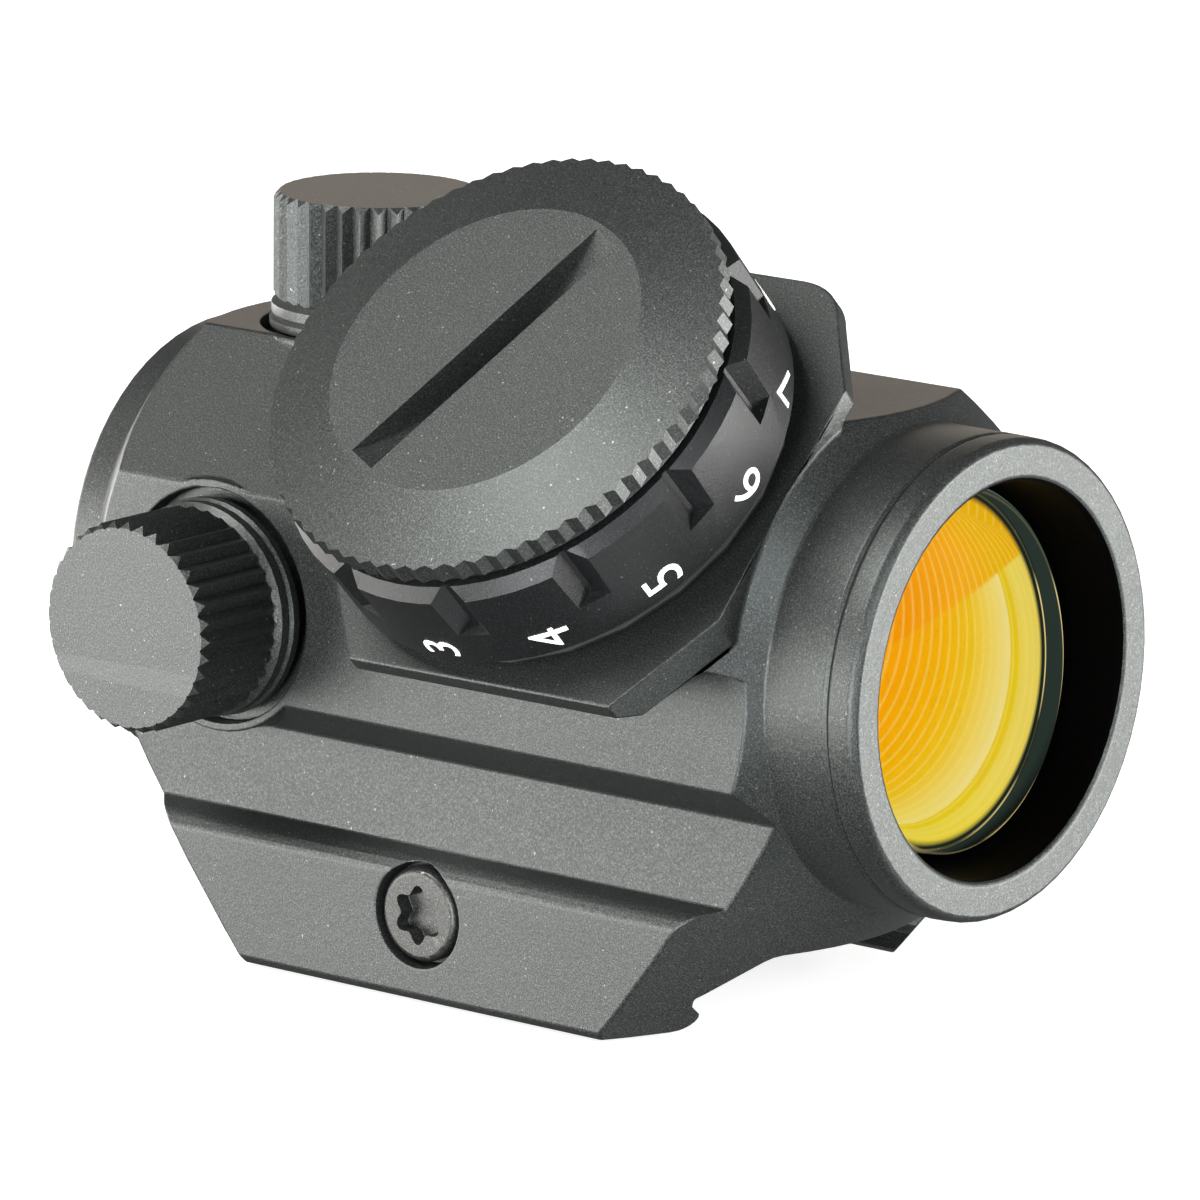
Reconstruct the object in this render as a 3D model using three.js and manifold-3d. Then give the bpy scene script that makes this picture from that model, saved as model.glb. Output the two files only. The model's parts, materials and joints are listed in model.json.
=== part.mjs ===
// Compact 1x tube red-dot sight with an integral rail clamp.
// Millimetres. +Z up, +Y towards the target, +X the right-hand (windage) side.
// Origin: on the rail-seat plane and the rail's centreline, on the land ahead of the cross bolt.
import * as THREE from 'three';
import { mergeVertices } from 'three/addons/utils/BufferGeometryUtils.js';
import Module from 'manifold-3d';

const wasm = await Module();
wasm.setup();

// ---------- driving dimensions ----------
const AXIS_Z = 17.3;            // optical axis above the rail seat
const LENGTH = 62;              // front face to rear face
const BOLT_Y = -11;             // cross bolt behind the origin
const FRONT_Y = BOLT_Y + 32.95; // front face
const REAR_Y = FRONT_Y - LENGTH;
const DIAL_Y = FRONT_Y - 23.8;  // axis of the brightness dial
const TURRET_Y = FRONT_Y - 48.9;
const FLAT = 15.5;              // optical axis to the top and side flats
const PAD = 16.2;               // optical axis to the 45 degree facets and the dial pad
const CONE = 41;                // half length of the double cone that trims the body's ends
const NECK_R = 14.7;
const BEZEL_R = 14.3;
const BORE_R = 12.05;           // front bore
const LEDGE_R = 11.2;
const CAVITY_R = 12.3;
const TUBE_R = 10.2;            // tilting inner tube
const RAIL_HALF = 10.6;         // half width of the rail across its edges
const RAIL_EDGE_Z = -2.74;      // height of the rail's edges under the seat
const JAW_Z = -5.2;             // lowest point of the fixed jaw
const MOVING_Z = -4.1;          // lowest point of the moving jaw
const JAW_TOP = 5.8;            // top of the moving jaw, just under the body
const SIDE_X = 15.07;           // outer face of the rail jaws
const BOLT_Z = 0.25;
const BOLT_R = 2.3;
const GAP = 0.3;                // working gap between neighbouring pieces
const POSITIONS = 12;           // brightness settings round the dial
const DIAL_R = 15.35;
const DIAL_BOTTOM = 17.7;       // heights along the dial's own axis, from the optical axis
const DIAL_TOP = 24.8;
const CAP_RIM_R = 15.1;
const CAP_TOP = 28.4;

// ---------- solids ----------
const fine = 60;
const round = 48;
const small = 20;
const hidden = 32;

// A geometry becomes a solid once its shared vertices are merged and its faces point out.
function solid(geometry) {
  const bare = new THREE.BufferGeometry();
  bare.setAttribute('position', geometry.attributes.position.clone());
  if (geometry.index) bare.setIndex(geometry.index.clone());
  const merged = mergeVertices(bare, 1e-4);
  const p = merged.attributes.position;
  const source = merged.index.array;
  const triangles = [];
  let volume = 0;
  const a = new THREE.Vector3();
  const b = new THREE.Vector3();
  const c = new THREE.Vector3();
  for (let i = 0; i < source.length; i += 3) {
    const [u, v, w] = [source[i], source[i + 1], source[i + 2]];
    if (u === v || v === w || w === u) continue;
    triangles.push(u, v, w);
    a.fromBufferAttribute(p, u);
    b.fromBufferAttribute(p, v);
    c.fromBufferAttribute(p, w);
    volume += a.dot(b.cross(c));
  }
  if (volume < 0) triangles.reverse();
  const mesh = new wasm.Mesh({
    numProp: 3,
    vertProperties: new Float32Array(p.array),
    triVerts: new Uint32Array(triangles),
  });
  return new wasm.Manifold(mesh);
}

// A solid of revolution about Y ('y'), or with its axis turned to Z ('z') or X ('x').
// The outline is [radius, distance along the axis] and closes on itself.
function turned(outline, axis = 'z', segments = round) {
  const points = outline.map(([r, t]) => new THREE.Vector2(r, t));
  points.push(points[0].clone());
  const geometry = new THREE.LatheGeometry(points, segments);
  if (axis === 'z') geometry.rotateX(Math.PI / 2);
  if (axis === 'x') geometry.rotateZ(-Math.PI / 2);
  return solid(geometry);
}

function drum(radius, low, high, axis = 'z', segments = round) {
  return turned([[0, low], [radius, low], [radius, high], [0, high]], axis, segments);
}

// A ring of round section about Z.
function oRing(radius, section, height) {
  const geometry = new THREE.TorusGeometry(radius, section, 6, 24);
  geometry.translate(0, 0, height);
  return solid(geometry);
}

// A flat outline [x, y], pushed along Z between two heights.
function plate(outline, low, high) {
  const shape = outline instanceof THREE.Shape
    ? outline
    : new THREE.Shape(outline.map(([x, y]) => new THREE.Vector2(x, y)));
  const geometry = new THREE.ExtrudeGeometry(shape, {
    depth: high - low, bevelEnabled: false, curveSegments: 8,
  });
  geometry.translate(0, 0, low);
  return solid(geometry);
}

// The same for an outline [x, z], pushed along Y.
function bar(outline, low, high) {
  const shape = new THREE.Shape(outline.map(([x, z]) => new THREE.Vector2(x, z)));
  const geometry = new THREE.ExtrudeGeometry(shape, { depth: high - low, bevelEnabled: false });
  geometry.rotateX(Math.PI / 2);
  geometry.translate(0, high, 0);
  return solid(geometry);
}

function block(x0, x1, y0, y1, z0, z1) {
  const geometry = new THREE.BoxGeometry(x1 - x0, y1 - y0, z1 - z0);
  geometry.translate((x0 + x1) / 2, (y0 + y1) / 2, (z0 + z1) / 2);
  return solid(geometry);
}

// Teeth round a drum: a star outline of V teeth between two radii.
function star(outer, inner, teeth, low, high) {
  const outline = [];
  for (let i = 0; i < 2 * teeth; i += 1) {
    const angle = i * Math.PI / teeth;
    const r = i % 2 ? inner : outer;
    outline.push([r * Math.cos(angle), r * Math.sin(angle)]);
  }
  return plate(outline, low, high);
}

function moved(shape, matrix) {
  return shape.transform(matrix.elements);
}

// ---------- frames ----------
function frame(y, turnY) {
  const group = new THREE.Group();
  group.position.set(0, y, AXIS_Z);
  group.rotation.y = turnY;
  group.updateMatrixWorld(true);
  return group;
}
const dialFrame = frame(DIAL_Y, Math.PI / 4);         // local +Z leans 45 degrees to the right
const windageFrame = frame(TURRET_Y, Math.PI / 2);    // local +Z is +X
const elevationFrame = frame(TURRET_Y, 0);            // local +Z is +Z
const opticFrame = new THREE.Group();                 // local Y is the optical axis
opticFrame.position.set(0, 0, AXIS_Z);
opticFrame.updateMatrixWorld(true);

const sight = new THREE.Group();
sight.add(dialFrame, windageFrame, elevationFrame, opticFrame);

const finishes = {
  anodised: { color: 0x55585a, roughness: 0.55, metalness: 0.4 },
  black: { color: 0x1b1c1e, roughness: 0.5, metalness: 0.3 },
  steel: { color: 0x6d6f70, roughness: 0.4, metalness: 0.9 },
  bright: { color: 0xb9bcc0, roughness: 0.25, metalness: 1 },
  brass: { color: 0xb08d4a, roughness: 0.35, metalness: 1 },
  glass: { color: 0xd8932b, roughness: 0.05, metalness: 0 },
  clear: { color: 0xbfd8cf, roughness: 0.05, metalness: 0 },
  rubber: { color: 0x161616, roughness: 0.9, metalness: 0 },
  board: { color: 0x2f6b3a, roughness: 0.6, metalness: 0 },
  red: { color: 0xc22a1e, roughness: 0.3, metalness: 0 },
};

function add(name, shape, finish, group = sight) {
  const { vertProperties, triVerts } = shape.getMesh();
  const geometry = new THREE.BufferGeometry();
  geometry.setAttribute('position', new THREE.BufferAttribute(vertProperties, 3));
  geometry.setIndex(new THREE.BufferAttribute(triVerts, 1));
  const mesh = new THREE.Mesh(geometry, new THREE.MeshStandardMaterial(finishes[finish]));
  mesh.name = name;
  group.add(mesh);
}

// ---------- main body ----------
// The double cone about the optical axis that trims both ends of the body and of the jaw.
const endCones = moved(
  turned([[0, BOLT_Y - CONE], [CONE, BOLT_Y], [0, BOLT_Y + CONE]], 'y', fine),
  opticFrame.matrixWorld,
);

function bodySection() {
  const corner = PAD * Math.SQRT2 - FLAT;       // where a flat meets a 45 degree facet
  const top = AXIS_Z + FLAT;
  const shoulder = AXIS_Z + corner;
  return [
    [-corner, top], [-FLAT, shoulder], [-FLAT, 11.8], [-13, 9.7], [-13, JAW_TOP + GAP], [-9.8, JAW_TOP + GAP],
    [-9.8, 0], [7.2, 0], [7.75, -0.08], [8.15, -0.32], [10.3, RAIL_EDGE_Z + 0.35], [RAIL_HALF + 0.15, RAIL_EDGE_Z],
    [10.45, RAIL_EDGE_Z - 0.5], [9.55, -3.9], [9.3, -4.3], [9.32, -4.65],
    [9.55, -4.95], [9.95, -5.12], [10.5, JAW_Z], [14.6, JAW_Z], [SIDE_X, JAW_Z + 0.5], [SIDE_X, 2.5], [14.97, 2.95], [14.65, 3.4],
    [14.1, 3.75], [13, 4], [13, 9.7], [FLAT, 11.8], [FLAT, shoulder], [corner, top],
  ];
}

function neck() {
  return turned([
    [0, REAR_Y], [BEZEL_R - 0.25, REAR_Y], [BEZEL_R, REAR_Y + 0.25], [NECK_R - 0.1, REAR_Y + 2.6],
    [NECK_R, FRONT_Y - 2.3], [NECK_R - 0.2, FRONT_Y - 2.15], [NECK_R, FRONT_Y - 2],
    [NECK_R - 0.05, FRONT_Y - 0.5], [BEZEL_R, FRONT_Y], [0, FRONT_Y],
  ], 'y', fine);
}

// The dial pad is a plate on the facet, wider than the body, with one well rounded corner.
function dialPad() {
  const pad = new THREE.Shape();
  pad.moveTo(-15.6, -8.4);
  pad.lineTo(-15.6, 8.6);
  pad.quadraticCurveTo(-15.6, 11.2, -13.4, 12.4);
  pad.lineTo(-8.5, 15.7);
  pad.lineTo(8.5, 15.7);
  pad.lineTo(15.5, 11.5);
  pad.lineTo(15.6, -8.4);
  pad.lineTo(10.2, -12.8);
  pad.lineTo(-10.2, -12.8);
  // It is thicker over the side panel, with its long lower edge chamfered from below.
  const lower = plate([
    [0, -12.8], [10.2, -12.8], [15.6, -8.4], [15.5, 11.5], [8.5, 15.7], [0, 15.7],
  ], PAD - 2.4, PAD - 1.3);
  const chamfer = bar([[13, 12.5], [16, 15.5], [18, 15.5], [18, 12.5]], -20, 30);
  const rim = plate(pad, PAD - 1.4, PAD).add(lower).subtract(chamfer);
  const root = plate([
    [-9.5, -11], [9.5, -11], [12.4, -7.4], [12.4, 9.4], [8, 14], [-8, 14], [-12.4, 9.4], [-12.4, -7.4],
  ], PAD - 4.4, PAD - 1);
  return rim.add(root).add(drum(13.5, PAD - 1, DIAL_BOTTOM - GAP));
}

// Under the pad's front corner the body carries on down to the top of the side panel.
function padWeb() {
  const underPad = moved(block(-20, 20, -30, 30, 0, PAD), dialFrame.matrixWorld);
  const panelTop = [[9, 19.4], [12.9, 19.4], [15.6, 18.4], [17, 17.9], [17, 26], [9, 26]];
  const shape = plate(panelTop, 10, 24).transform(new THREE.Matrix4().makeBasis(
    new THREE.Vector3(0, 1, 0), new THREE.Vector3(0, 0, 1), new THREE.Vector3(1, 0, 0),
  ).elements);
  return shape.intersect(endCones).intersect(underPad);
}

// The recesses in front of and behind the lenses are seen, and the cavity between is not.
function bore() {
  const front = turned([
    [0, FRONT_Y - 8], [BORE_R, FRONT_Y - 8], [BORE_R, FRONT_Y - 0.3], [BORE_R + 0.3, FRONT_Y],
    [BORE_R + 0.3, FRONT_Y + 1], [0, FRONT_Y + 1],
  ], 'y', fine);
  const rear = turned([
    [0, REAR_Y - 1], [BEZEL_R - 0.9, REAR_Y - 1], [BEZEL_R - 0.9, REAR_Y], [11.9, REAR_Y + 0.6],
    [11.9, REAR_Y + 4], [0, REAR_Y + 4],
  ], 'y', fine);
  const cavity = turned([
    [0, REAR_Y + 3], [11.95, REAR_Y + 3], [11.95, REAR_Y + 5], [LEDGE_R, REAR_Y + 5],
    [LEDGE_R, REAR_Y + 6.5], [CAVITY_R, REAR_Y + 6.5], [CAVITY_R, FRONT_Y - 18],
    [LEDGE_R, FRONT_Y - 18], [LEDGE_R, FRONT_Y - 11.7], [BORE_R, FRONT_Y - 11.7],
    [BORE_R, FRONT_Y - 7], [0, FRONT_Y - 7],
  ], 'y', hidden);
  return front.add(rear).add(cavity);
}

function mainBody() {
  let body = bar(bodySection(), REAR_Y + 1, FRONT_Y - 3).intersect(endCones);
  body = body.add(moved(neck(), opticFrame.matrixWorld));
  body = body.add(moved(dialPad(), dialFrame.matrixWorld)).add(padWeb());
  for (const turret of [windageFrame, elevationFrame]) {
    body = body.add(moved(drum(7.9, 12.6, FLAT), turret.matrixWorld));
  }
  body = body.subtract(moved(bore(), opticFrame.matrixWorld));
  for (const turret of [windageFrame, elevationFrame]) {
    body = body.subtract(moved(drum(7.35, 14.4, FLAT + 3), turret.matrixWorld));
    body = body.subtract(moved(drum(4.3, 11, 15, 'z', small), turret.matrixWorld));
  }
  const holes = [
    drum(2.3, 13.4, 20, 'z', small),                      // dial screw
    drum(0.95, 13.9, 20, 'z', 16).translate(0, 12.6, 0),  // detent
    drum(1, 11, 20, 'z', 16).translate(0, -6, 0),         // wires to the emitter
  ];
  for (const hole of holes) body = body.subtract(moved(hole, dialFrame.matrixWorld));
  const boltHole = drum(BOLT_R + GAP, -20, 20, 'x', small);
  const boltSeat = drum(3.26, SIDE_X - 1.7, 20, 'x', 48);
  return body.subtract(boltHole.add(boltSeat).translate(0, BOLT_Y, BOLT_Z));
}
add('main_body', mainBody(), 'anodised');

// ---------- optics ----------
// A lens surface of revolution: a circular arc bulging forwards by its sag.
function arc(radius, edgeY, curvature, count = 4) {
  const points = [];
  for (let i = 0; i <= count; i += 1) {
    const r = radius * i / count;
    const sagEdge = curvature - Math.sqrt(curvature ** 2 - radius ** 2);
    const sag = curvature - Math.sqrt(curvature ** 2 - r ** 2);
    points.push([r, edgeY + sagEdge - sag]);
  }
  return points;
}

const LENS_R = 11.15;
const FRONT_CURVE = 60;
const CEMENT_CURVE = 55;
const LENS_Y = FRONT_Y - 5.4;   // middle of the cemented pair
// The pair leans back five degrees, which throws the emitter's light along the axis.
function leaned(shape) {
  return shape.translate(0, -LENS_Y, 0).rotate([5, 0, 0]).translate(0, LENS_Y, 0);
}
function ring(outer, inner, low, high) {
  return turned([[inner, low], [outer, low], [outer, high], [inner, high]], 'y', hidden);
}
add('objective_front_element', leaned(turned([
  ...arc(LENS_R - 0.2, LENS_Y + 1.7, FRONT_CURVE), [LENS_R, LENS_Y + 1.5],
  ...arc(LENS_R, LENS_Y + 0.2, CEMENT_CURVE).reverse(),
], 'y', hidden)), 'clear', opticFrame);
add('objective_rear_element', leaned(turned([
  ...arc(LENS_R, LENS_Y + 0.05, CEMENT_CURVE), [LENS_R, LENS_Y - 1.7], [0, LENS_Y - 1.7],
], 'y', hidden)), 'glass', opticFrame);
add('objective_cell', ring(11.75, 10.4, FRONT_Y - 11.4, FRONT_Y - 8.4), 'black', opticFrame);
add('ocular_lens', turned([
  [0, REAR_Y + 2.7], [11.4, REAR_Y + 2.7], [11.6, REAR_Y + 2.9], [11.6, REAR_Y + 4.7],
  [0, REAR_Y + 4.7],
], 'y', hidden), 'clear', opticFrame);
add('ocular_retaining_ring', ring(11.6, 10.2, REAR_Y + 1, REAR_Y + 2.4).subtract(
  block(-13, 13, REAR_Y, REAR_Y + 1.6, -0.7, 0.7)), 'black', opticFrame);

// ---------- tilting inner tube ----------
const PIVOT_Y = FRONT_Y - 15.2;
add('pivot_ring', ring(10.95, 10.5, PIVOT_Y - 1.6, PIVOT_Y + 1.6), 'steel', opticFrame);
add('inner_tube', ring(TUBE_R, 9.3, REAR_Y + 8.5, PIVOT_Y + 2.4), 'black', opticFrame);
const EMITTER_Y = TURRET_Y + 1.5;
add('emitter_block', block(-2.4, 2.4, EMITTER_Y - 5, EMITTER_Y, -8.5, -5.2), 'black', opticFrame);
add('emitter_led', drum(1, EMITTER_Y + GAP, EMITTER_Y + 1.4, 'y', 16).translate(0, 0, -6.6),
  'red', opticFrame);

// The leaf spring bows between the cavity wall and the tube, opposite the two adjusters.
function biasSpring() {
  const half = 7;
  const rise = 1.05;
  const sheet = 0.25;
  const outline = [];
  for (let i = 0; i <= 12; i += 1) {
    const t = -1 + i / 6;
    outline.push([11.7 - rise * (1 - t * t), half * t]);
  }
  for (let i = 12; i >= 0; i -= 1) {
    const t = -1 + i / 6;
    outline.push([11.7 + sheet - rise * (1 - t * t), half * t]);
  }
  const spring = plate(outline, -2, 2);
  const turn = new THREE.Matrix4().makeRotationY(Math.PI * 3 / 4);
  return moved(spring, turn).translate(0, TURRET_Y + 3, 0);
}
add('bias_spring', biasSpring(), 'steel', opticFrame);

// ---------- adjustment turrets ----------
function turretCap() {
  const flutes = 36;
  const outside = turned([
    [0, 15.2], [6.6, 15.2], [6.8, 15.4], [6.8, 15.9], [6.6, 16.1], [6.68, 16.25], [6.68, 16.85],
    [6.3, 17.15], [6.7, 17.65], [6.7, 23.25], [6.19, 23.8], [0, 23.8],
  ], 'z', flutes);
  const teeth = star(6.55, 6.08, flutes, 17, 24).add(drum(7, 15, 17.15, 'z', flutes));
  const hollow = turned([[0, 15], [5.8, 15], [5.8, 17.3], [5.1, 17.3], [5.1, 22.2], [0, 22.2]],
    'z', small);
  return outside.intersect(teeth).subtract(hollow);
}
function turretAdjuster() {
  const knob = turned([
    [0, 16.5], [3, 16.5], [3, 19.8], [4.3, 19.8], [4.3, 20.8], [4.1, 21], [0, 21],
  ], 'z', small);
  return knob.subtract(block(-5, 5, -0.5, 0.5, 20.2, 22));
}
for (const [name, group] of [['windage', windageFrame], ['elevation', elevationFrame]]) {
  add(`${name}_bush`, turned([
    [1.9, 13.2], [4, 13.2], [4, 14.7], [5.3, 14.7], [5.3, 15.4], [4.7, 15.4], [4.7, 19.5],
    [3.3, 19.5], [3.3, 16.2], [1.9, 16.2],
  ], 'z', small), 'brass', group);
  add(`${name}_plunger`, turned([
    [0, TUBE_R + 0.35], [0.9, TUBE_R + 0.45], [1.55, TUBE_R + 1], [1.55, 16], [0, 16],
  ], 'z', 24), 'steel', group);
  add(`${name}_adjuster`, turretAdjuster(), 'steel', group);
  add(`${name}_cap_seal`, oRing(5.22, 0.26, 16.5), 'rubber', group);
  add(`${name}_cap`, turretCap(), 'anodised', group);
}

// ---------- brightness dial ----------
const NUMBER_TOP = DIAL_BOTTOM + 3;
function brightnessDial() {
  let dial = turned([
    [2.4, 19.5], [11.6, 19.5], [11.6, DIAL_BOTTOM], [DIAL_R - 0.3, DIAL_BOTTOM],
    [DIAL_R, DIAL_BOTTOM + 0.3], [DIAL_R, NUMBER_TOP],
    [DIAL_R + 0.1, 24.1], [14.7, DIAL_TOP], [13.5, DIAL_TOP], [13.5, 24.2], [12, 24.2],
    [12, 22.9], [10.3, 22.9], [10.3, 20.5], [2.4, 20.5],
  ], 'z', fine);
  // A finger notch lies between each pair of settings, above the number band.
  const notch = plate([[14.55, -0.15], [16, -1.95], [16, 1.95], [14.55, 0.15]], NUMBER_TOP, 26);
  for (let i = 0; i < POSITIONS; i += 1) {
    dial = dial.subtract(notch.rotate([0, 0, 13.5 + i * 360 / POSITIONS]));
  }
  return dial;
}
add('brightness_dial', brightnessDial(), 'black', dialFrame);

function batteryCap() {
  const rim = star(CAP_RIM_R, CAP_RIM_R - 0.28, 70, 25, CAP_TOP + 1);
  const crown = turned([
    [0, 25.1], [14.4, 25.1], [14.4, 25.8], [15.3, 25.8], [15.3, 27], [14.95, 27.13],
    [10.54, CAP_TOP - 0.06], [10.3, CAP_TOP], [0, CAP_TOP],
  ], 'z', 70);
  const thread = turned([[10.35, 23.2], [11.7, 23.2], [11.7, 25.6], [10.35, 25.6]], 'z', round);
  // The coin slot is the pass of a large disc cutter: deepest in the middle.
  const half = 9.8;
  const depth = 2.35;
  const cutter = (half ** 2 + depth ** 2) / (2 * depth);
  const slot = drum(cutter, -1.15, 1.15, 'x', 192).translate(0, 0, CAP_TOP - depth + cutter)
    .intersect(block(-2, 2, -12, 12, 26, CAP_TOP + 1))
    .rotate([0, 0, 65]);
  return crown.intersect(rim).add(thread).subtract(drum(10.35, 25, 25.65)).subtract(slot);
}
add('battery_cap', batteryCap(), 'anodised', dialFrame);
add('battery_cap_seal', oRing(12.6, 0.33, 24.68), 'rubber', dialFrame);
add('coin_cell', turned([
  [0, 22.4], [8.7, 22.4], [8.7, 22.7], [9.9, 22.9], [9.9, 25.5], [0, 25.5],
], 'z', hidden), 'bright', dialFrame);
add('battery_contact', turned([[4.1, 20.85], [8.2, 21.85], [8.2, 22.1], [4.1, 21.1]], 'z', small),
  'brass', dialFrame);
add('dial_screw', turned([
  [0, 13.8], [1.9, 13.8], [1.9, 20.8], [3.4, 20.8], [3.4, 21.5], [0, 21.5],
], 'z', small).subtract(block(-4, 4, -0.4, 0.4, 21, 22)), 'steel', dialFrame);
add('switch_board', plate([
  ...Array.from({ length: 32 }, (_, i) => i * Math.PI / 16)
    .map((angle) => [10.8 * Math.cos(angle), 10.8 * Math.sin(angle)]),
], 17.7, 18.4).subtract(drum(2.4, 17, 19, 'z', small)), 'board', dialFrame);
add('dial_wiper', turned([[5, 18.9], [9.5, 18.9], [9.5, 19.15], [5, 19.15]], 'z', small)
  .subtract(block(0.8, 12, -12, 12, 18, 20)), 'brass', dialFrame);
const ball = new THREE.SphereGeometry(0.7, 12, 8);
ball.translate(0, 12.6, 16.9);
add('detent_ball', solid(ball), 'bright', dialFrame);
add('detent_spring', drum(0.62, 14.2, 15.9, 'z', 12).translate(0, 12.6, 0), 'steel', dialFrame);
add('dial_seal', oRing(14.2, 0.5, 17), 'rubber', dialFrame);

// ---------- rail clamp ----------
function clampJaw() {
  const section = [
    [-9.8 - GAP, JAW_TOP], [-14.3, JAW_TOP], [-SIDE_X, JAW_TOP - 0.8], [-SIDE_X, MOVING_Z + 0.5],
    [-14.6, MOVING_Z], [-10.2, MOVING_Z], [-9.6, MOVING_Z + 0.4], [-RAIL_HALF - 0.15, RAIL_EDGE_Z - 0.1],
    [-9.8 - GAP, -2.1],
  ];
  const jaw = bar(section, REAR_Y, FRONT_Y).intersect(endCones);
  return jaw.subtract(drum(BOLT_R + GAP, -20, 0, 'x', small).translate(0, BOLT_Y, BOLT_Z));
}
add('clamp_jaw', clampJaw(), 'black');

function clampScrew() {
  const headTop = SIDE_X - 0.1;
  const screw = turned([
    [0, -SIDE_X + 0.3], [BOLT_R - 0.4, -SIDE_X + 0.3], [BOLT_R, -SIDE_X + 0.7],
    [BOLT_R, headTop - 1.2], [2.95, headTop - 1.2], [2.95, headTop - 0.45], [2.8, headTop - 0.15],
    [2.5, headTop],
    [0, headTop],
  ], 'x', 48);
  // Six-lobed drive recess.
  const lobes = [];
  for (let i = 0; i < 48; i += 1) {
    const angle = i * Math.PI / 24;
    const r = 1.58 + 0.27 * Math.cos(6 * angle);
    lobes.push([r * Math.cos(angle), r * Math.sin(angle)]);
  }
  const drive = plate(lobes, headTop - 1.1, headTop + 1).rotate([0, 90, 0]);
  return screw.subtract(drive).translate(0, BOLT_Y, BOLT_Z);
}
add('clamp_screw', clampScrew(), 'steel');

export default sight;
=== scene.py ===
import json
import math

import bpy
import bmesh
from mathutils import Matrix, Vector


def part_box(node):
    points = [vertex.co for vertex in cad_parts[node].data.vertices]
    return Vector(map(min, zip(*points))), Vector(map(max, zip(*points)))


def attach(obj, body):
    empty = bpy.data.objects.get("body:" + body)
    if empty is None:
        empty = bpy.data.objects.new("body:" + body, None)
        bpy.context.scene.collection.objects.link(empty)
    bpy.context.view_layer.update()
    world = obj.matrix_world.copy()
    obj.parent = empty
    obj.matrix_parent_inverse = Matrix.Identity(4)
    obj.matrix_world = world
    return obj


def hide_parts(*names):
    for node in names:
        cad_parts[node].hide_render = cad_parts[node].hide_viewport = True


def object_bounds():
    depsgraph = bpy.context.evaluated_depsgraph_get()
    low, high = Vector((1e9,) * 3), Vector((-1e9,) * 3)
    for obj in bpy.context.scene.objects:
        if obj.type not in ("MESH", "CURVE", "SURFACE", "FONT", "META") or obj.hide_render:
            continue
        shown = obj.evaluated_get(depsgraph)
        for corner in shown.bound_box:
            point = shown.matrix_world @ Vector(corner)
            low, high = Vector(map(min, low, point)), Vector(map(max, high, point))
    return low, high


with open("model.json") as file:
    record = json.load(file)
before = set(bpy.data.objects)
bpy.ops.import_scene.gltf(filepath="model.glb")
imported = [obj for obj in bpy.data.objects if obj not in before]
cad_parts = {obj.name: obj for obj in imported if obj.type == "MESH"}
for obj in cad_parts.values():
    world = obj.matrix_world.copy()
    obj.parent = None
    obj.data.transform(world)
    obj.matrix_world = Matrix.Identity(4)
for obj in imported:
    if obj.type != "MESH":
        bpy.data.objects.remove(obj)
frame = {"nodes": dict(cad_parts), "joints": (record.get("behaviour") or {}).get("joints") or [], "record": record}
CAD_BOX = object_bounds()

MM = 0.001
NODES = frame["nodes"]
JOINTS = {joint["name"]: joint for joint in frame["joints"]}


# ---------- places read from the frame ----------
def node_centre(name):
    low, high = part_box(name)
    return (low + high) / 2


AXIS_Z = node_centre("objective_front_element").z
FRONT_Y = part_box("main_body")[1].y
DIAL_CENTRE = Vector(JOINTS["dial_turn"]["pos_m"])
DIAL_TILT = math.radians(45)              # how far the dial's axis leans from upright to +X
# Local Z is the dial's axis, local Y points to the target.
DIAL_FRAME = Matrix.Translation(DIAL_CENTRE) @ Matrix.Rotation(DIAL_TILT, 4, "Y")

# ---------- camera ----------
AIM = Vector((10.2, -1.1, 20.3)) * MM     # a point on the camera's line of sight
DISTANCE = 604 * MM
HEADING = 218.86                          # the way the camera looks, in degrees from +X
DIP = 12.7                                # degrees below the horizon
ROLL = 0.55
LENS = 301.3
SHIFT = (0.0029, 0.0040)


def make_camera():
    data = bpy.data.cameras.new("camera")
    data.lens = LENS
    data.sensor_width = 36
    data.shift_x, data.shift_y = SHIFT
    data.clip_start, data.clip_end = 0.01, 20
    camera = bpy.data.objects.new("camera", data)
    bpy.context.scene.collection.objects.link(camera)
    heading, dip = math.radians(HEADING), math.radians(DIP)
    ahead = Vector((
        math.cos(dip) * math.cos(heading), math.cos(dip) * math.sin(heading), -math.sin(dip),
    ))
    camera.location = AIM - ahead * DISTANCE
    turn = ahead.to_track_quat("-Z", "Y").to_matrix().to_4x4()
    turn = turn @ Matrix.Rotation(math.radians(ROLL), 4, "Z")
    camera.rotation_mode = "QUATERNION"
    camera.rotation_quaternion = turn.to_quaternion()
    bpy.context.scene.camera = camera


# ---------- studio ----------
FLOOR_SIZE = 6                            # metres
FLOOR_GAP = 0.0002                        # metres below the part
FLOOR_GLOW = 0.8
WORLD_STRENGTH = 0.16
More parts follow.
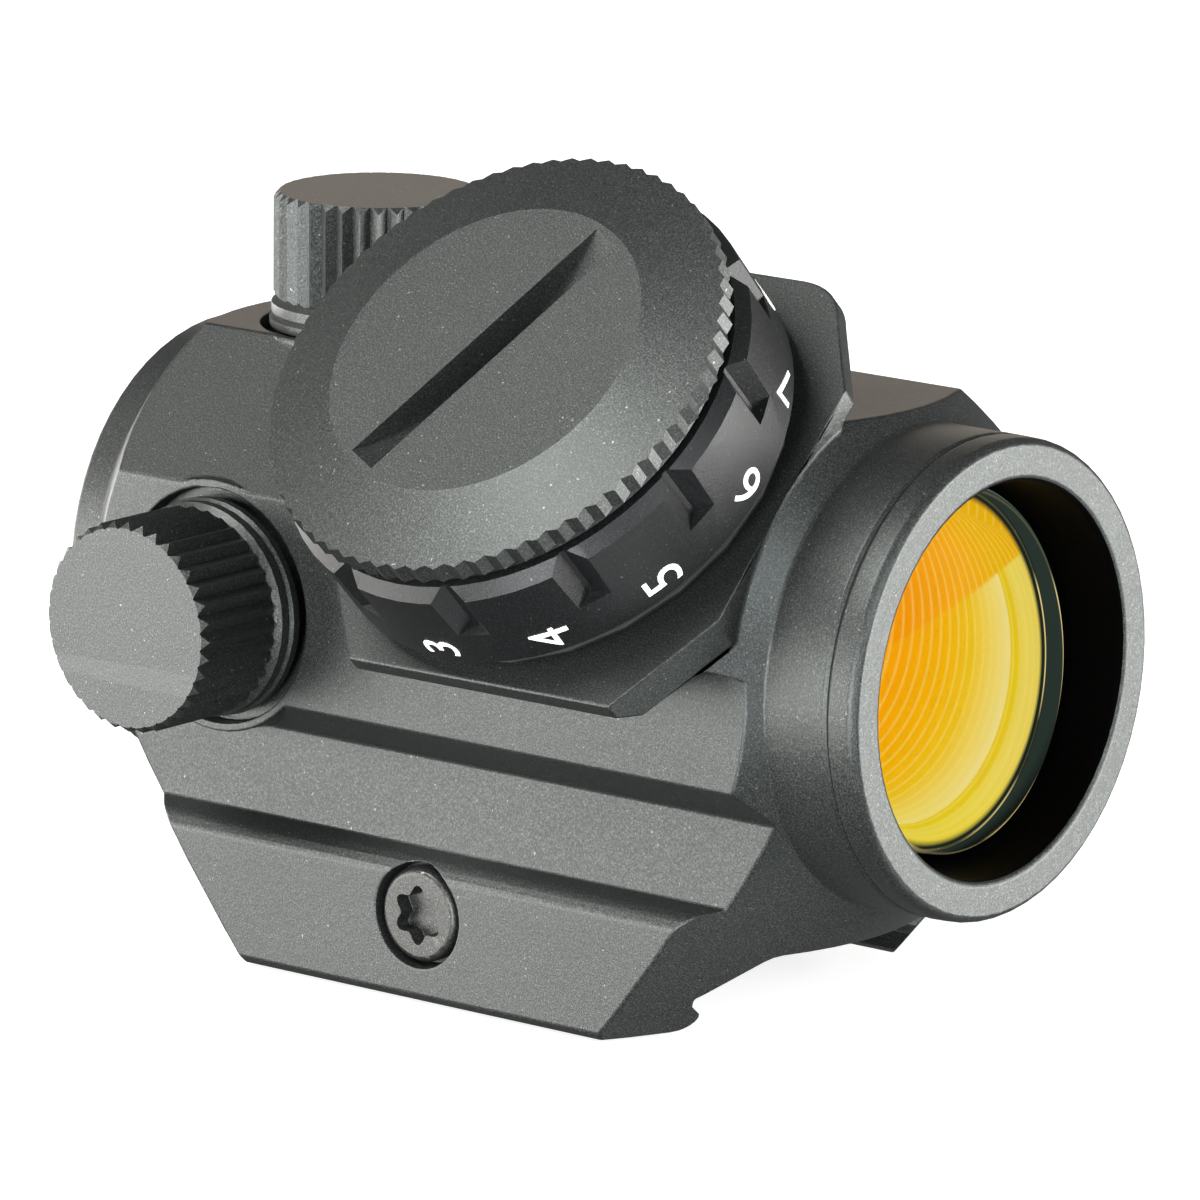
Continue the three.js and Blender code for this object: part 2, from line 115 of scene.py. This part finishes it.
# Soft boxes that face AIM: place and size in metres, watts, colour.
LIGHTS = {
    "left_box": ((0.56, -0.52, -0.02), (0.6, 0.42), 7.7, (1, 0.985, 0.95)),
    "low_left_box": ((-0.06, -0.78, -0.04), (0.5, 0.3), 4, (1, 0.97, 0.93)),
    "near_box": ((0.78, 0.16, -0.02), (0.25, 0.4), 7.6, (0.97, 0.99, 1)),
    "right_box": ((-0.46, 0.62, 0.0), (0.6, 0.5), 14.5, (1, 0.99, 0.97)),
    "high_box": ((0.40, -0.22, 0.56), (0.26, 0.3), 4.6, (1, 1, 0.97)),
    "facet_box": ((0.17, -0.46, 0.57), (0.5, 0.4), 0.1, (1, 1, 0.97)),
    "cone_box": ((0.32, 0.58, 0.35), (0.4, 0.3), 3.0, (0.94, 0.99, 1)),
    "under_box": ((-0.10, 0.36, -0.44), (0.35, 0.35), 0.7, (0.95, 1, 1)),
    "front_box": ((0.50, 0.63, -0.17), (0.3, 0.3), 1.6, (0.95, 0.98, 1)),
    "back_box": ((-0.58, -0.48, 0.20), (0.3, 0.3), 0.3, (1, 0.86, 0.7)),
}


def area_light(name, place, size, watts, colour):
    data = bpy.data.lights.new(name, "AREA")
    data.shape = "RECTANGLE"
    data.size, data.size_y = size
    data.energy = watts
    data.color = colour
    light = bpy.data.objects.new(name, data)
    bpy.context.scene.collection.objects.link(light)
    light.location = Vector(place)
    light.rotation_mode = "QUATERNION"
    light.rotation_quaternion = (AIM - Vector(place)).to_track_quat("-Z", "Y")
    light.visible_camera = False


def make_studio():
    bpy.ops.mesh.primitive_plane_add(size=FLOOR_SIZE, location=(0, 0, CAD_BOX[0].z - FLOOR_GAP))
    floor = bpy.context.object
    floor.name = "floor"
    material = bpy.data.materials.new("floor_white")
    material.use_nodes = True
    shader = material.node_tree.nodes["Principled BSDF"]
    shader.inputs["Base Color"].default_value = (0.6, 0.6, 0.6, 1)
    shader.inputs["Roughness"].default_value = 0.9
    shader.inputs["Specular IOR Level"].default_value = 0.0
    shader.inputs["Emission Color"].default_value = (1, 1, 1, 1)
    shader.inputs["Emission Strength"].default_value = FLOOR_GLOW
    floor.data.materials.append(material)
    # It glows like a light table, throws nothing back on the part and lets the under_box through.
    floor.visible_diffuse = False
    floor.visible_glossy = False
    floor.visible_shadow = False
    scene = bpy.context.scene
    scene.world = bpy.data.worlds.new("studio")
    scene.world.use_nodes = True
    background = scene.world.node_tree.nodes["Background"]
    background.inputs["Color"].default_value = (1, 1, 1, 1)
    background.inputs["Strength"].default_value = WORLD_STRENGTH
    for name, values in LIGHTS.items():
        area_light(name, *values)
    scene.view_settings.view_transform = "Standard"
    scene.cycles.use_denoising = True


# ---------- lens sizes, which its materials use too ----------
FRONT_CURVE = 60 * MM
CEMENT_CURVE = 55 * MM
LENS_RADIUS = 11.15 * MM
LENS_Y = FRONT_Y - 5.4 * MM               # where the two lenses meet
LEAN = math.radians(5)                    # the pair leans back, as the CAD pieces do

# The painted amber arcs, reflections of the bore's ridges, have one radius. Their centres step
# along a line from ARC_X, ARC_Z, whose direction is ARC_COS, ARC_SIN.
ARC_X, ARC_Z = 1.5 * MM, 0.3 * MM
ARC_COS, ARC_SIN = 0.91, 0.41
ARC_RADIUS = 9.8 * MM
ARC_SPACING = 0.9 * MM
LENS_SPAN = 16 * MM                       # the stretch that the colour ramps cover
# The edge between the two tints is the top of a painted highlight.
SLANT = 0.22                              # slope of the edge between the two tints
FOOT_Z = -7 * MM                          # below here the tint fades towards yellow
# The lengths that one unit stands for on the ramps of the rims, the slanting edge and the foot.
RIM_SPAN, SLANT_SPAN, FOOT_SPAN = 20 * MM, 10 * MM, 5 * MM


# ---------- material helpers ----------
class Nodes:
    """Short names for building a node material."""

    def __init__(self, name):
        self.material = bpy.data.materials.new(name)
        self.material.use_nodes = True
        self.tree = self.material.node_tree
        self.shader = self.tree.nodes["Principled BSDF"]
        self.place = self.add("ShaderNodeTexCoord").outputs["Object"]

    def add(self, kind, **values):
        node = self.tree.nodes.new(kind)
        for key, value in values.items():
            setattr(node, key, value)
        return node

    def link(self, output, target):
        self.tree.links.new(output, target)

    def noise(self, scale, detail=2.0, roughness=0.5, stretch=(1, 1, 1)):
        mapping = self.add("ShaderNodeMapping")
        mapping.inputs["Scale"].default_value = stretch
        self.link(self.place, mapping.inputs["Vector"])
        node = self.add("ShaderNodeTexNoise")
        node.inputs["Scale"].default_value = scale
        node.inputs["Detail"].default_value = detail
        node.inputs["Roughness"].default_value = roughness
        self.link(mapping.outputs["Vector"], node.inputs["Vector"])
        return node.outputs["Fac"]

    def ramp(self, factor, stops):
        node = self.add("ShaderNodeValToRGB")
        elements = node.color_ramp.elements
        while len(elements) < len(stops):
            elements.new(0.5)
        for element, (place, colour) in zip(elements, stops):
            element.position = place
            element.color = (*colour, 1)
        self.link(factor, node.inputs["Fac"])
        return node.outputs["Color"]

    def grey(self, factor, stops):
        return self.ramp(factor, [(place, (value,) * 3) for place, value in stops])

    def fill(self, socket, value):
        """Links a socket to a value made by a node, or stores a number or a colour in it."""
        if isinstance(value, bpy.types.NodeSocket):
            self.link(value, socket)
        elif isinstance(value, tuple):
            socket.default_value = (*value, 1)
        else:
            socket.default_value = value

    def math(self, operation, a, b=0.0):
        node = self.add("ShaderNodeMath", operation=operation)
        self.fill(node.inputs[0], a)
        self.fill(node.inputs[1], b)
        return node.outputs[0]

    def from_axis(self):
        """X, Y and Z, with Z measured from the optical axis."""
        split = self.add("ShaderNodeSeparateXYZ")
        self.link(self.place, split.inputs[0])
        z = self.math("SUBTRACT", split.outputs["Z"], AXIS_Z)
        return split.outputs["X"], split.outputs["Y"], z

    def radius(self):
        """The distance from the optical axis."""
        x, _, z = self.from_axis()
        squares = self.math("ADD", self.math("MULTIPLY", x, x), self.math("MULTIPLY", z, z))
        return self.math("SQRT", squares)

    def within(self, limit):
        """1 inside a radius about the optical axis and 0 outside it."""
        return self.math("LESS_THAN", self.radius(), limit)

    def mix(self, factor, a, b, blend="MIX"):
        node = self.add("ShaderNodeMix", data_type="RGBA", blend_type=blend)
        for value, target in ((factor, 0), (a, 6), (b, 7)):
            self.fill(node.inputs[target], value)
        return node.outputs[2]

    def bump(self, height, strength, distance, normal=None):
        node = self.add("ShaderNodeBump")
        node.inputs["Strength"].default_value = strength
        node.inputs["Distance"].default_value = distance
        self.link(height, node.inputs["Height"])
        if normal is not None:
            self.link(normal, node.inputs["Normal"])
        return node.outputs["Normal"]

    def set(self, **values):
        names = {
            "base": "Base Color", "rough": "Roughness", "metal": "Metallic", "normal": "Normal",
            "ior": "IOR", "through": "Transmission Weight", "glow": "Emission Strength",
            "glow_colour": "Emission Color",
        }
        for key, value in values.items():
            self.fill(self.shader.inputs[names[key]], value)
        return self.material


def shaded(colour, factor):
    """A colour made darker or brighter, up to white."""
    return tuple(min(1, value * factor) for value in colour)


# ---------- materials ----------
def anodised(name, base, rough, metal=0.8, grain=1.0, specks=0.5, scuffs=0.3, bore=None):
    """Blasted and anodised aluminium: a salt-and-pepper grain, a few bright specks and scuffs.
    bore is the radius about the optical axis inside which the colour is turned almost black and rough."""
    n = Nodes(name)
    fine = n.noise(9500, 1, 0.5)
    coarse = n.noise(2600, 2, 0.55)
    cloud = n.ramp(n.noise(70, 3), [(0.3, shaded(base, 0.93)), (0.7, shaded(base, 1.07))])
    salt = n.ramp(fine, [(0.32, shaded(base, 0.5)), (0.5, base), (0.7, shaded(base, 2.2))])
    grains = n.mix(0.6, cloud, salt)
    sparks = n.grey(fine, [(0.70, 0.0), (0.80, specks)])
    clusters = n.grey(n.noise(420, 2), [(0.45, 0.25), (0.7, 1.0)])
    flecked = n.mix(n.mix(1.0, sparks, clusters, "MULTIPLY"), grains, (0.42, 0.43, 0.43))
    dust = n.grey(n.noise(4200, 0, 0.4), [(0.835, 0.0), (0.86, specks * 0.8)])
    flecked = n.mix(dust, flecked, (0.5, 0.5, 0.48))
    scratch = n.grey(n.noise(230, 2, 0.5, (1, 0.05, 1.7)), [(0.72, 0.0), (0.75, scuffs * 0.5)])
    colour = n.mix(scratch, flecked, shaded(base, 2.2))
    roughness = n.grey(fine, [(0.3, rough - 0.05), (0.7, rough + 0.06)])
    bump = n.bump(fine, 0.30 * grain, 0.00003)
    bump = n.bump(coarse, 0.22 * grain, 0.00005, bump)
    if bore:
        # Inside the bore the colour turns almost black and the metal rough.
        inside = n.within(bore)
        colour = n.mix(inside, colour, (0.0022, 0.0022, 0.0024))
        roughness = n.mix(inside, roughness, (0.8, 0.8, 0.8))
        metal = n.math("MAXIMUM", inside, metal)
    return n.set(base=colour, rough=roughness, metal=metal, normal=bump)


def steel(name, base, rough):
    n = Nodes(name)
    streaks = n.noise(1400, 2, 0.5, (0.12, 1, 1))
    colour = n.ramp(streaks, [(0.3, shaded(base, 0.8)), (0.7, base)])
    roughness = n.grey(n.noise(2500, 2), [(0.3, rough - 0.08), (0.7, rough + 0.08)])
    return n.set(base=colour, rough=roughness, metal=0.9, normal=n.bump(streaks, 0.15, 0.00003))


def rubber(name):
    n = Nodes(name)
    fine = n.noise(3000, 2)
    colour = n.ramp(fine, [(0.3, (0.008, 0.008, 0.008)), (0.7, (0.02, 0.02, 0.021))])
    roughness = n.grey(fine, [(0.3, 0.6), (0.7, 0.75)])
    return n.set(base=colour, rough=roughness, normal=n.bump(fine, 0.2, 0.00003))


def board(name):
    n = Nodes(name)
    weave = n.noise(1800, 2)
    colour = n.ramp(weave, [(0.35, (0.015, 0.09, 0.03)), (0.65, (0.02, 0.13, 0.045))])
    return n.set(base=colour, rough=n.grey(weave, [(0.3, 0.3), (0.7, 0.45)]))


def led(name):
    n = Nodes(name)
    haze = n.noise(900, 2)
    return n.set(base=n.ramp(haze, [(0.3, (0.5, 0.01, 0.01)), (0.7, (0.75, 0.03, 0.02))]),
                 rough=n.grey(haze, [(0.3, 0.1), (0.7, 0.25)]), glow=0.4, glow_colour=(1, 0.04, 0.02))


def paint(name):
    n = Nodes(name)
    fine = n.noise(2500, 2)
    # The white print also glows a little: painted brightness, not a lamp.
    return n.set(base=n.ramp(fine, [(0.3, (0.80, 0.80, 0.74)), (0.6, (0.92, 0.92, 0.86))]),
                 rough=n.grey(fine, [(0.3, 0.45), (0.7, 0.6)]), normal=n.bump(fine, 0.1, 0.00002),
                 glow=0.3, glow_colour=(1.0, 0.99, 0.9))


def clear_glass(name):
    """A low index stands for the coating that cuts its reflections. Thin lines at the rim glow as
    painted highlights, and the edge beyond them has a faint painted green glow."""
    n = Nodes(name)
    haze = n.noise(600, 2)
    radius = n.math("MULTIPLY", n.radius(), 1 / RIM_SPAN)
    # Painted highlights: thin glowing lines at the rim, bright only in patches.
    line = n.grey(radius, [(0.541, 0.0), (0.543, 1.0), (0.547, 1.0), (0.549, 0.0)])
    glint_patches = n.grey(n.noise(130, 1), [(0.46, 0.08), (0.6, 1.0)])
    rim = n.mix(n.math("MULTIPLY", line, glint_patches), (0.0, 0.0, 0.0), (0.80, 0.62, 0.26))
    # Beyond the lines the edge glows faintly green, which is painted light too.
    rim = n.mix(n.grey(radius, [(0.550, 0.0), (0.555, 1.0)]), rim, (0.022, 0.034, 0.028))
    return n.set(base=n.ramp(haze, [(0.3, (0.95, 0.98, 0.95)), (0.7, (0.97, 0.99, 0.97))]),
                 rough=n.grey(haze, [(0.4, 0.0), (0.8, 0.03)]), through=1.0, ior=1.015,
                 glow=1.0, glow_colour=rim)


def amber_coating(name):
    """Painted reflection: the face glows with painted amber that stands for the light it throws back.
    Painted pale arcs, the bore's ridges mirrored in it, cross the lens, and a painted highlight
    lies beneath a slanting edge."""
    n = Nodes(name)
    x, y, z = n.from_axis()
    from_x, from_z = n.math("SUBTRACT", x, ARC_X), n.math("SUBTRACT", z, ARC_Z)
    along = n.math("ADD", n.math("MULTIPLY", from_x, ARC_COS), n.math("MULTIPLY", from_z, ARC_SIN))
    aside = n.math("SUBTRACT", n.math("MULTIPLY", from_x, ARC_SIN), n.math("MULTIPLY", from_z, ARC_COS))
    left = n.math("SUBTRACT", ARC_RADIUS ** 2, n.math("MULTIPLY", aside, aside))
    reach = n.math("SQRT", n.math("MAXIMUM", left, 0))
    step = n.math("MULTIPLY", n.math("ADD", along, reach), 1 / LENS_SPAN)
    # Below the slanting edge, the pale stops are a painted highlight: the reflection of a soft box.
    lower_with_painted_highlight = n.ramp(step, [
        (0.0, (0.78, 0.60, 0.10)), (0.055, (0.745, 0.515, 0.013)), (0.104, (0.745, 0.515, 0.013)),
        (0.11, (0.79, 0.64, 0.24)), (0.21, (0.79, 0.59, 0.127)), (0.38, (0.79, 0.485, 0.013)),
        (0.54, (0.84, 0.413, 0.003)), (0.8, (0.87, 0.34, 0.0015)),
    ])
    upper = n.ramp(step, [(0.1, (0.80, 0.42, 0.006)), (0.4, (0.855, 0.376, 0.0048)),
                          (0.8, (0.865, 0.29, 0.0015))])
    slant = n.math("ADD", z, n.math("MULTIPLY", x, SLANT))
    above = n.math("MULTIPLY", slant, 1 / SLANT_SPAN)
    tint = n.mix(n.grey(above, [(0.335, 0.0), (0.36, 1.0)]), lower_with_painted_highlight, upper)
    below = n.math("MULTIPLY", n.math("SUBTRACT", FOOT_Z, z), 1 / FOOT_SPAN)
    tint = n.mix(n.grey(below, [(0.0, 0.0), (0.8, 0.7)]), tint, (0.76, 0.60, 0.012))
    # Painted reflection of the bore's ridges, as pale arcs.
    rings = n.grey(n.math("FRACT", n.math("MULTIPLY", step, LENS_SPAN / ARC_SPACING)),
                   [(0.30, 0.0), (0.46, 0.3), (0.54, 0.3), (0.70, 0.0)])
    with_ridge_reflections = n.mix(rings, tint, (0.86, 0.66, 0.16))
    edge = n.grey(n.math("MULTIPLY", n.radius(), 1 / RIM_SPAN), [(0.515, 0.0), (0.535, 1.0)])
    colour = n.mix(edge, with_ridge_reflections, (0.012, 0.02, 0.014))
    upright = n.math("ADD", y, n.math("MULTIPLY", z, math.tan(LEAN)))
    behind = n.math("LESS_THAN", upright, LENS_Y - 0.8 * MM)
    colour = n.mix(behind, colour, (0.012, 0.03, 0.035))
    # The face glows with its colour, so the amber is painted reflection, not lit.
    return n.set(base=n.mix(0.95, colour, (0.0, 0.0, 0.0)), rough=0.15, metal=0.0,
                 ior=1.02, glow=0.96, glow_colour=colour)


# ---------- shared finishing of the CAD nodes ----------
def crisp(degrees):
    """A modifier group that shades a mesh smoothly, apart from edges sharper than an angle."""
    name = f"crisp_{degrees}"
    if name in bpy.data.node_groups:
        return bpy.data.node_groups[name]
    group = bpy.data.node_groups.new(name, "GeometryNodeTree")
    group.is_modifier = True
    group.interface.new_socket("Geometry", in_out="INPUT", socket_type="NodeSocketGeometry")
    group.interface.new_socket("Geometry", in_out="OUTPUT", socket_type="NodeSocketGeometry")
    start, end = group.nodes.new("NodeGroupInput"), group.nodes.new("NodeGroupOutput")
    smooth = group.nodes.new("GeometryNodeSetShadeSmooth")
    sharp = group.nodes.new("GeometryNodeSetShadeSmooth")
    sharp.domain = "EDGE"
    sharp.inputs["Shade Smooth"].default_value = False
    angle = group.nodes.new("GeometryNodeInputMeshEdgeAngle")
    steep = group.nodes.new("FunctionNodeCompare")
    steep.data_type, steep.operation = "FLOAT", "GREATER_THAN"
    steep.inputs["B"].default_value = math.radians(degrees)
    for output, target in (
        (start.outputs[0], smooth.inputs["Geometry"]), (smooth.outputs[0], sharp.inputs["Geometry"]),
        (angle.outputs["Unsigned Angle"], steep.inputs["A"]),
        (steep.outputs["Result"], sharp.inputs["Selection"]), (sharp.outputs[0], end.inputs[0]),
    ):
        group.links.new(output, target)
    return group


WELD_GAP = 0.002 * MM
FLAT_ANGLE = 0.6                          # degrees: faces flatter than this are merged
BEVEL_ANGLE = 28                          # degrees: edges steeper than this are rounded
BEVEL_SEGMENTS = 2


def polish(name, material, bevel, sharp, clamp):
    """Merges the flat faces, rounds the hard edges and shades the curved ones smoothly."""
    node = NODES[name]
    node.data.materials.clear()
    node.data.materials.append(material)
    for polygon in node.data.polygons:
        polygon.use_smooth = True
    merge = node.modifiers.new("weld", "WELD")
    merge.merge_threshold = WELD_GAP
    flat = node.modifiers.new("flats", "DECIMATE")
    flat.decimate_type = "DISSOLVE"
    flat.angle_limit = math.radians(FLAT_ANGLE)
    if bevel:
        edge = node.modifiers.new("edges", "BEVEL")
        edge.width = bevel * MM
        edge.segments = BEVEL_SEGMENTS
        edge.limit_method = "ANGLE"
        edge.angle_limit = math.radians(BEVEL_ANGLE)
        edge.miter_outer = "MITER_ARC"
        edge.use_clamp_overlap = clamp
        edge.harden_normals = False
    shading = node.modifiers.new("shading", "NODES")
    shading.node_group = crisp(sharp)
    normals = node.modifiers.new("normals", "WEIGHTED_NORMAL")
    normals.keep_sharp = True
    normals.weight = 60


def new_object(name, mesh, material, body):
    piece = bpy.data.objects.new(name, mesh)
    bpy.context.scene.collection.objects.link(piece)
    mesh.materials.append(material)
    for polygon in mesh.polygons:
        polygon.use_smooth = True
    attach(piece, body)
    return piece


LATHE_SEGMENTS = 160


def lathe(name, outline):
    """A mesh of revolution about the optical axis from [radius, y] points, from axis to axis."""
    bm = bmesh.new()
    rings = []
    for radius, y in outline:
        if radius < 1e-9:
            rings.append([bm.verts.new((0, y, AXIS_Z))])
            continue
        rings.append([bm.verts.new((
            radius * math.cos(2 * math.pi * i / LATHE_SEGMENTS), y,
            AXIS_Z + radius * math.sin(2 * math.pi * i / LATHE_SEGMENTS),
        )) for i in range(LATHE_SEGMENTS)])
    for near, far in zip(rings, rings[1:]):
        for i in range(LATHE_SEGMENTS):
            j = (i + 1) % LATHE_SEGMENTS
            corners = [near[i % len(near)], near[j % len(near)], far[j % len(far)], far[i % len(far)]]
            bm.faces.new(list(dict.fromkeys(corners)))
    bmesh.ops.recalc_face_normals(bm, faces=bm.faces)
    mesh = bpy.data.meshes.new(name)
    bm.to_mesh(mesh)
    bm.free()
    return mesh


# ---------- lenses ----------
ARC_STEPS = 24


def lens_arc(radius, edge_y, curvature):
    """A bulging lens face as [radius, y] points, from the axis to the edge at edge_y."""
    def sag(r):
        return curvature - math.sqrt(curvature ** 2 - r ** 2)
    return [(radius * i / ARC_STEPS, edge_y + sag(radius) - sag(radius * i / ARC_STEPS))
            for i in range(ARC_STEPS + 1)]


def make_lens(name, outline, material):
    centre = Vector((0, LENS_Y, AXIS_Z))
    lean = Matrix.Translation(centre) @ Matrix.Rotation(LEAN, 4, "X") @ Matrix.Translation(-centre)
    mesh = lathe(name, outline)
    mesh.transform(lean)
    return new_object(name, mesh, material, "housing")


def make_lenses(glass, coating):
    face = lens_arc(LENS_RADIUS - 0.25 * MM, LENS_Y + 1.7 * MM, FRONT_CURVE)
    chamfer = [(LENS_RADIUS - 0.05 * MM, LENS_Y + 1.55 * MM), (LENS_RADIUS, LENS_Y + 1.45 * MM)]
    back = lens_arc(LENS_RADIUS, LENS_Y + 0.2 * MM, CEMENT_CURVE)
    piece = make_lens("objective_glass", face + chamfer + back[::-1], glass)
    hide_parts("objective_front_element")
    front = lens_arc(LENS_RADIUS, LENS_Y + 0.05 * MM, CEMENT_CURVE)
    rear_y = LENS_Y - 1.7 * MM
    rim = [(LENS_RADIUS, rear_y + 0.1 * MM), (LENS_RADIUS - 0.1 * MM, rear_y), (0, rear_y)]
    piece = make_lens("objective_coated_glass", front + rim, coating)
    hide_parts("objective_rear_element")


# ---------- dial numbers ----------
DIAL_R = 15.35 * MM
NUMBER_Z = 19.25 * MM                     # middle of the printed band, up the dial's axis
NUMBER_HEIGHT = 2.5 * MM
NUMBER_DEPTH = 0.03 * MM                  # how far the print stands out of the dial
NUMBER_ROOT = 0.1 * MM                    # and how far its back lies inside
NARROW = 0.72                             # width of a figure in a two-figure number
NUMBER_ROWS = 9
SETTINGS = 12
STEP = 28.3                               # degrees between printed numbers
FIFTH = 58.3                              # where the 5 is, in degrees round the dial


def number_mesh(label):
    """A flat numeral of height 1 made from the built-in typeface, centred on the origin."""
    curve = bpy.data.curves.new(f"text_{label}", "FONT")
    curve.body = label
    curve.size = 1
    curve.align_x, curve.align_y = "CENTER", "CENTER"
    curve.extrude = 0.5
    curve.resolution_u = 6
    text = bpy.data.objects.new("text", curve)
    bpy.context.scene.collection.objects.link(text)
    bpy.context.view_layer.update()
    mesh = bpy.data.meshes.new_from_object(text.evaluated_get(bpy.context.evaluated_depsgraph_get()))
    bpy.data.objects.remove(text)
    xs = [v.co.x for v in mesh.vertices]
    ys = [v.co.y for v in mesh.vertices]
    centre = Vector(((min(xs) + max(xs)) / 2, (min(ys) + max(ys)) / 2, 0))
    height = max(ys) - min(ys)
    bm = bmesh.new()
    bm.from_mesh(mesh)
    bpy.data.meshes.remove(mesh)
    for vertex in bm.verts:
        vertex.co = (vertex.co - centre) / height
    # Long straight strokes are cut into rows, so that they follow the dial's curve.
    for row in range(1, NUMBER_ROWS):
        bmesh.ops.bisect_plane(
            bm, geom=bm.verts[:] + bm.edges[:] + bm.faces[:], dist=1e-5,
            plane_co=(0, row / NUMBER_ROWS - 0.5, 0), plane_no=(0, 1, 0),
        )
    return bm


def make_numbers(white):
    whole = bmesh.new()
    for number in range(SETTINGS):
        label = str(number)
        bm = number_mesh(label)
        squeeze = 1 if len(label) == 1 else NARROW
        # The steps don't quite fill the turn, and the rest of it lies between 2 and 3.
        spare = 360 - SETTINGS * STEP if number < 3 else 0
        for vertex in bm.verts:
            # The numeral's right runs up the dial's axis, and its top points back round the rim.
            glyph_x = vertex.co.x * NUMBER_HEIGHT * squeeze
            glyph_y = vertex.co.y * NUMBER_HEIGHT
            radius = DIAL_R + (NUMBER_DEPTH if vertex.co.z > 0 else -NUMBER_ROOT)
            around = math.radians(FIFTH + (number - 5) * STEP - spare) - glyph_y / DIAL_R
            vertex.co = (radius * math.cos(around), radius * math.sin(around), NUMBER_Z + glyph_x)
        part = bpy.data.meshes.new("part")
        bm.to_mesh(part)
        bm.free()
        whole.from_mesh(part)
        bpy.data.meshes.remove(part)
    bmesh.ops.recalc_face_normals(whole, faces=whole.faces)
    mesh = bpy.data.meshes.new("dial_numbers")
    whole.to_mesh(mesh)
    whole.free()
    mesh.transform(DIAL_FRAME)
    piece = new_object("dial_numbers", mesh, white, "brightness_dial")
    for polygon in piece.data.polygons:
        polygon.use_smooth = False


# ---------- build ----------
make_camera()
make_studio()

# The material of each slot in the record. dial_numbers has its own paint.
MATERIALS = {
    "body_anodised": anodised("body_anodised", (0.050, 0.0535, 0.052), 0.44, specks=0.35,
                              bore=12.2 * MM),
    "cap_anodised": anodised("cap_anodised", (0.054, 0.0575, 0.056), 0.43),
    "dial_black": anodised("dial_black", (0.010, 0.0105, 0.011), 0.42, metal=0.4, specks=0.2,
                           scuffs=0.1),
    "inner_black": anodised("inner_black", (0.004, 0.004, 0.0045), 0.5, specks=0.0, scuffs=0.0),
    "screw_steel": anodised("screw_steel", (0.045, 0.046, 0.045), 0.38, grain=0.7),
    "spring_steel": steel("spring_steel", (0.55, 0.55, 0.55), 0.3),
    "cell_steel": steel("cell_steel", (0.7, 0.7, 0.7), 0.22),
    "brass": steel("brass", (0.72, 0.5, 0.22), 0.3),
    "seal_rubber": rubber("seal_rubber"),
    "board": board("board"),
    "led_red": led("led_red"),
    "clear_glass": clear_glass("clear_glass"),
    "coated_glass": amber_coating("amber_coating"),
}
# Bevel width in mm, and the angle in degrees above which an edge stays sharp.
PLAIN_EDGES = (0.0, 30)
EDGES = {
    "main_body": (0.18, 40), "clamp_jaw": (0.3, 40), "brightness_dial": (0.07, 40),
    "battery_cap": (0.0, 12), "windage_cap": (0.0, 12), "elevation_cap": (0.0, 12),
    "clamp_screw": (0.06, 35),
}
for part in frame["record"]["subparts"]:
    name = part["node"]
    # One tiny edge of the body would hold all its bevels back, so they are not clamped to it.
    polish(name, MATERIALS[part["material_slot"]], *EDGES.get(name, PLAIN_EDGES),
           clamp=name != "main_body")

make_lenses(MATERIALS["clear_glass"], MATERIALS["coated_glass"])
make_numbers(paint("number_white"))
